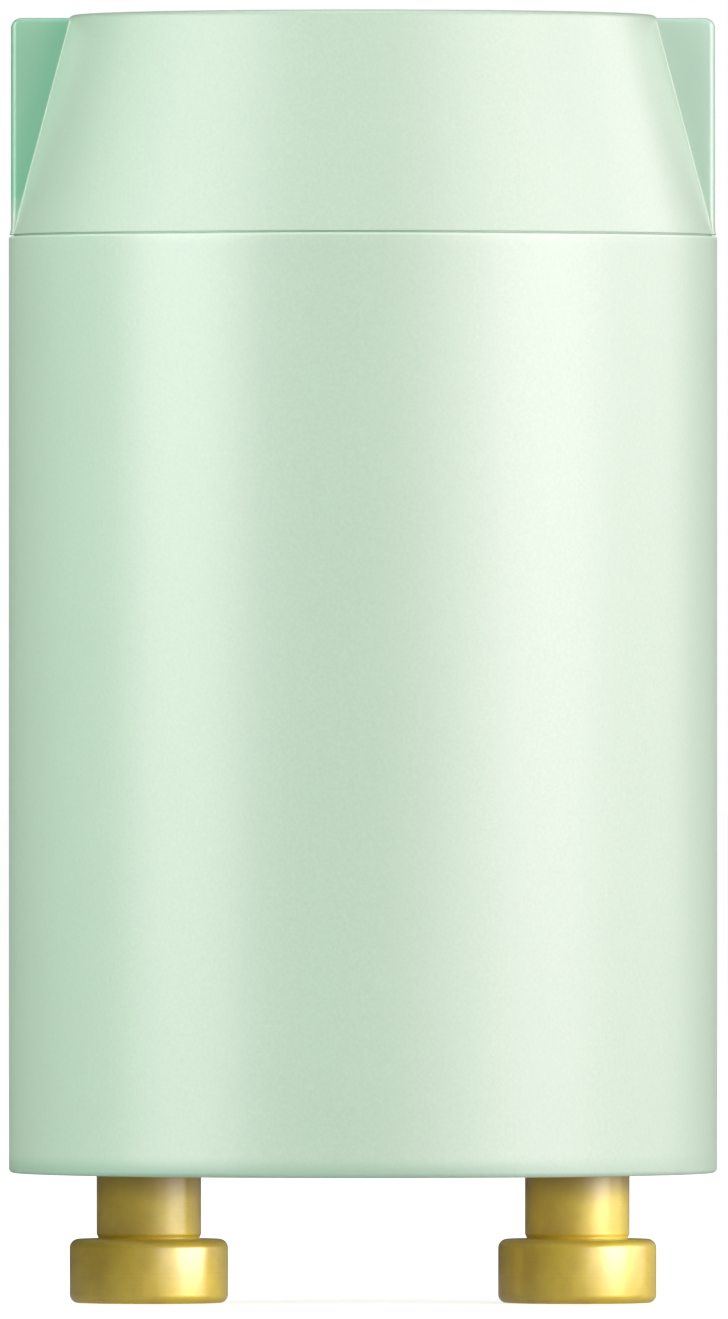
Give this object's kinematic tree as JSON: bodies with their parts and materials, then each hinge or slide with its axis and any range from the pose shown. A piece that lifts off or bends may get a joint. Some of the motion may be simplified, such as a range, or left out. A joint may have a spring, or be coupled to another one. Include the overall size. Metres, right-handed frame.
{
  "type": "fluorescent starter",
  "caption": "Plug-in fluorescent starter: a pale green plastic canister with a tapered top and two finger wings, over a base with headed brass contact pins.",
  "frame": {"origin": "bottom centre: midway between the two contact pins, at the height of their tips", "axes": "+Z along the canister from the pins to the crown, +X from the left pin to the right pin"},
  "size_m": [0.021, 0.021, 0.0382],
  "materials": {
    "canister_plastic": "satin moulded polycarbonate, pale mint",
    "disc_plastic": "matt moulded plastic, off-white",
    "pin_brass": "turned, bright",
    "solder": "soft solder, satin",
    "tube_glass": "clear blown glass",
    "seal_wire": "copper-clad seal wire",
    "lead_copper": "bare copper",
    "nickel": "drawn nickel",
    "bimetal": "rolled strip",
    "emitter": "coated, matt grey",
    "capacitor_lacquer": "dipped lacquer, brown",
    "lead_tinned": "tinned wire",
    "sleeve": "soft insulating tube"
  },
  "bodies": {
    "root": {"canister": "canister_plastic", "base_disc": "disc_plastic", "contact_pin_left": "pin_brass", "contact_pin_right": "pin_brass", "solder_joint_left": "solder", "solder_joint_right": "solder", "glow_tube": "tube_glass", "seal_wire_left": "seal_wire", "seal_wire_right": "seal_wire", "lamp_lead_left": "lead_copper", "lamp_lead_right": "lead_copper", "bimetal_post": "nickel", "bimetal_strip": "bimetal", "fixed_electrode": "nickel", "emitter_tab": "emitter", "capacitor_body": "capacitor_lacquer", "capacitor_lead_left": "lead_tinned", "capacitor_lead_right": "lead_tinned", "lead_sleeve_left": "sleeve", "lead_sleeve_right": "sleeve"}
  },
  "joints": []
}
